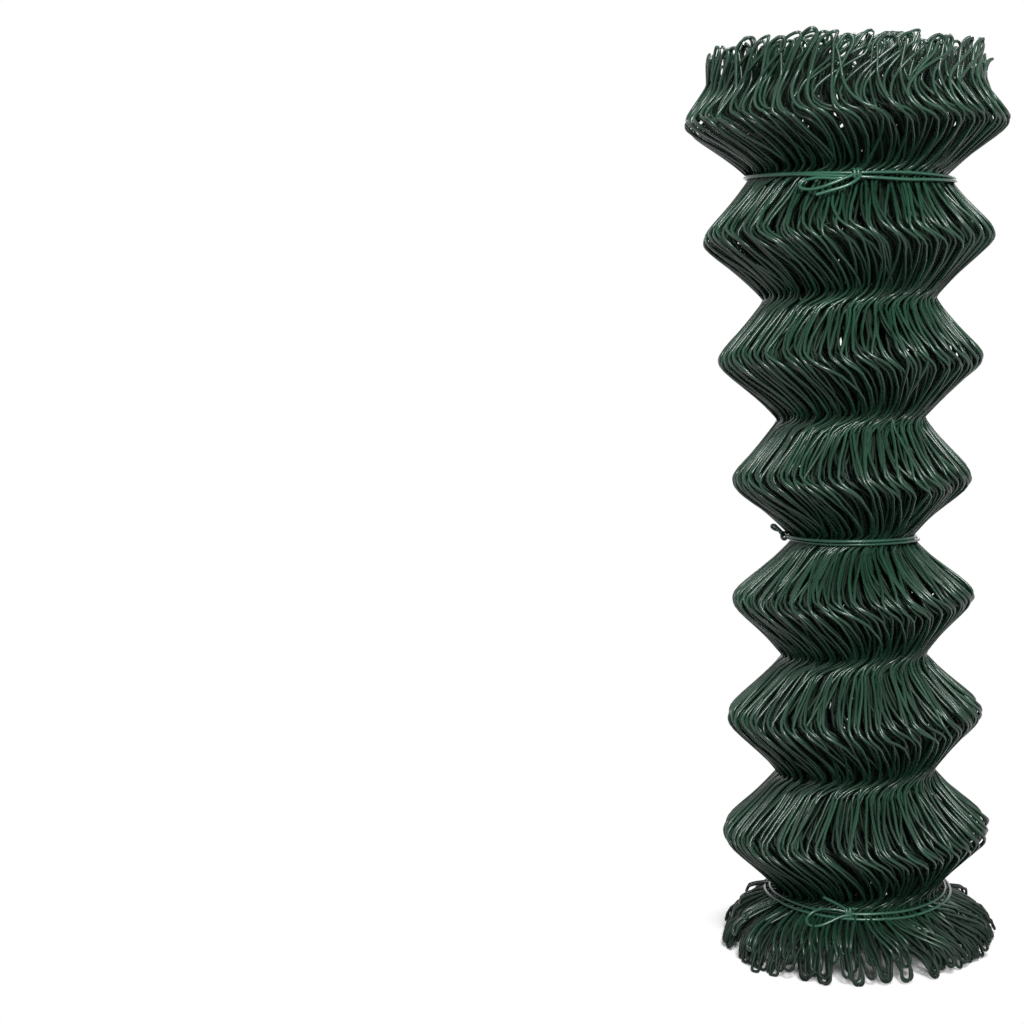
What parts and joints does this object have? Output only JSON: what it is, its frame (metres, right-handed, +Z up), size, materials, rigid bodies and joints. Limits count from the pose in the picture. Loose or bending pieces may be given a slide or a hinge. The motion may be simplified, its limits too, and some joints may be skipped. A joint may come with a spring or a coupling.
{
  "type": "roll of chain-link fencing",
  "caption": "Compact standing roll of green coated chain-link fencing, pleated like an accordion by its nested zigzag wires, held by knotted tie wires and open along its axis.",
  "frame": {"origin": "on the floor, on the axis of the roll", "axes": "+Z up along the axis of the roll; -Y towards the front, where two of the ties are knotted"},
  "size_m": [0.2879, 0.288, 0.8],
  "materials": {
    "coated_wire": "glossy dark green coating on steel wire",
    "tie_wire": "glossy dark green coating on steel wire"
  },
  "bodies": {
    "root": {"fence_roll": "coated_wire", "top_tie_wire": "tie_wire", "middle_tie_wire": "tie_wire", "bottom_tie_wire": "tie_wire"}
  },
  "joints": []
}
